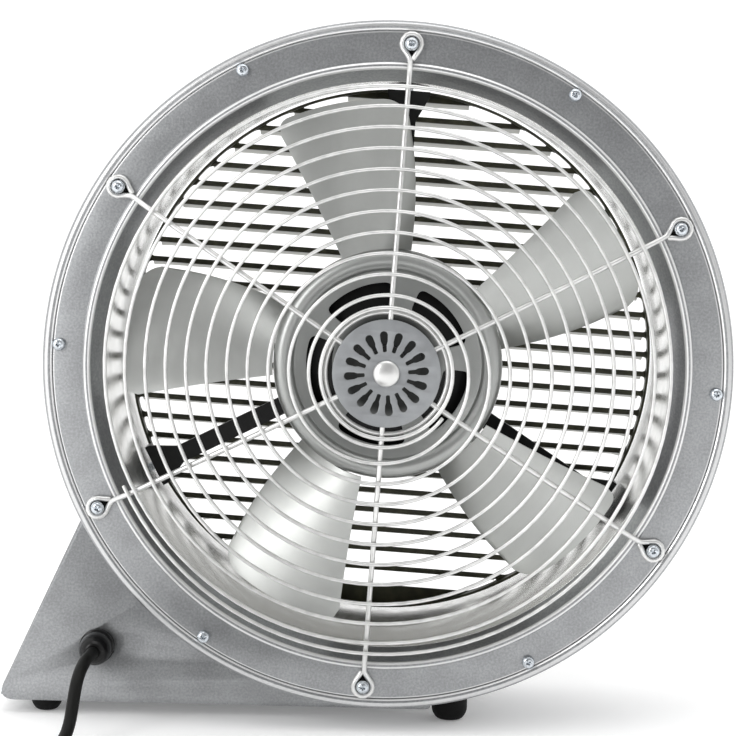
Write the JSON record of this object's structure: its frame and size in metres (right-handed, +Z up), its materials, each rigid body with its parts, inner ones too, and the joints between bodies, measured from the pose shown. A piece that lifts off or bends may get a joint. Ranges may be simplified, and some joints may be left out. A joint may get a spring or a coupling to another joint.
{
  "type": "air mover",
  "caption": "Drum air mover: axial impeller and motor in a round sheet-steel drum with a spiral wire guard in front, a louvred rear panel and a low sloping base on rubber feet.",
  "frame": {"origin": "on the floor, under the middle of the machine's box without its cord", "axes": "+X across the drum, to the right as seen from the guard; +Y along the impeller's axis, from the guard to the louvres; +Z up"},
  "size_m": [0.5559, 0.5228, 0.5376],
  "materials": {
    "hammertone_steel": "silver-grey hammertone powder coat",
    "bright_steel": "bright galvanised sheet, pale and semi-gloss",
    "guard_wire": "bright silver wire",
    "grey_paint": "satin grey paint",
    "zinc_fasteners": "bright zinc plate",
    "satin_aluminium": "satin silver sheet",
    "motor_steel": "machined steel",
    "black_paint": "semi-gloss black paint",
    "handle_rubber": "soft black grip",
    "foot_rubber": "matt black rubber",
    "black_plastic": "moulded black nylon",
    "cord_rubber": "matt black jacket"
  },
  "bodies": {
    "frame": {"drum_flange": "hammertone_steel", "front_ring": "hammertone_steel", "casing_rim": "hammertone_steel", "rear_ring": "hammertone_steel", "base_front_plate": "hammertone_steel", "base_rear_plate": "hammertone_steel", "base_skirt": "hammertone_steel", "drum_shell": "bright_steel", "rear_louvre_panel": "bright_steel", "guard_spokes": "guard_wire", "guard_spiral": "guard_wire", "guard_inner_ring": "guard_wire", "centre_disc": "grey_paint", "centre_rivet": "zinc_fasteners", "guard_screw_1": "zinc_fasteners", "guard_screw_2": "zinc_fasteners", "guard_screw_3": "zinc_fasteners", "guard_screw_4": "zinc_fasteners", "guard_screw_5": "zinc_fasteners", "guard_screw_6": "zinc_fasteners", "ring_screw_1": "zinc_fasteners", "ring_screw_2": "zinc_fasteners", "ring_screw_3": "zinc_fasteners", "ring_screw_4": "zinc_fasteners", "ring_screw_5": "zinc_fasteners", "ring_screw_6": "zinc_fasteners", "arm_bolt_1": "zinc_fasteners", "arm_bolt_2": "zinc_fasteners", "arm_bolt_3": "zinc_fasteners", "front_bearing": "motor_steel", "rear_bearing": "motor_steel", "motor_can": "black_paint", "motor_front_cap": "black_paint", "motor_rear_cap": "black_paint", "motor_arm_1": "black_paint", "motor_arm_2": "black_paint", "motor_arm_3": "black_paint", "carry_handle": "handle_rubber", "foot_front_left": "foot_rubber", "foot_front_right": "foot_rubber", "foot_rear_left": "foot_rubber", "foot_rear_right": "foot_rubber", "cable_gland": "black_plastic", "gland_nut": "black_plastic", "switch_bezel": "black_plastic", "capacitor": "black_plastic", "terminal_block": "black_plastic", "plug": "black_plastic", "cord": "cord_rubber", "cord_coil": "cord_rubber", "cord_tail": "cord_rubber"},
    "impeller": {"impeller_hub": "satin_aluminium", "blade_1": "satin_aluminium", "blade_2": "satin_aluminium", "blade_3": "satin_aluminium", "blade_4": "satin_aluminium", "blade_5": "satin_aluminium", "motor_shaft": "motor_steel", "motor_rotor": "motor_steel"},
    "rocker": {"switch_rocker": "black_plastic"}
  },
  "joints": [
    {"name": "impeller_spin", "type": "hinge", "parent": "frame", "child": "impeller", "pos_m": [0.0183, -0.0194, 0.278], "axis": [0, 1, 0], "continuous": true},
    {"name": "rocker_tilt", "type": "hinge", "parent": "frame", "child": "rocker", "pos_m": [-0.1717, 0.0788, 0.063], "axis": [0, 0, 1], "range_deg": [0, 16]}
  ]
}
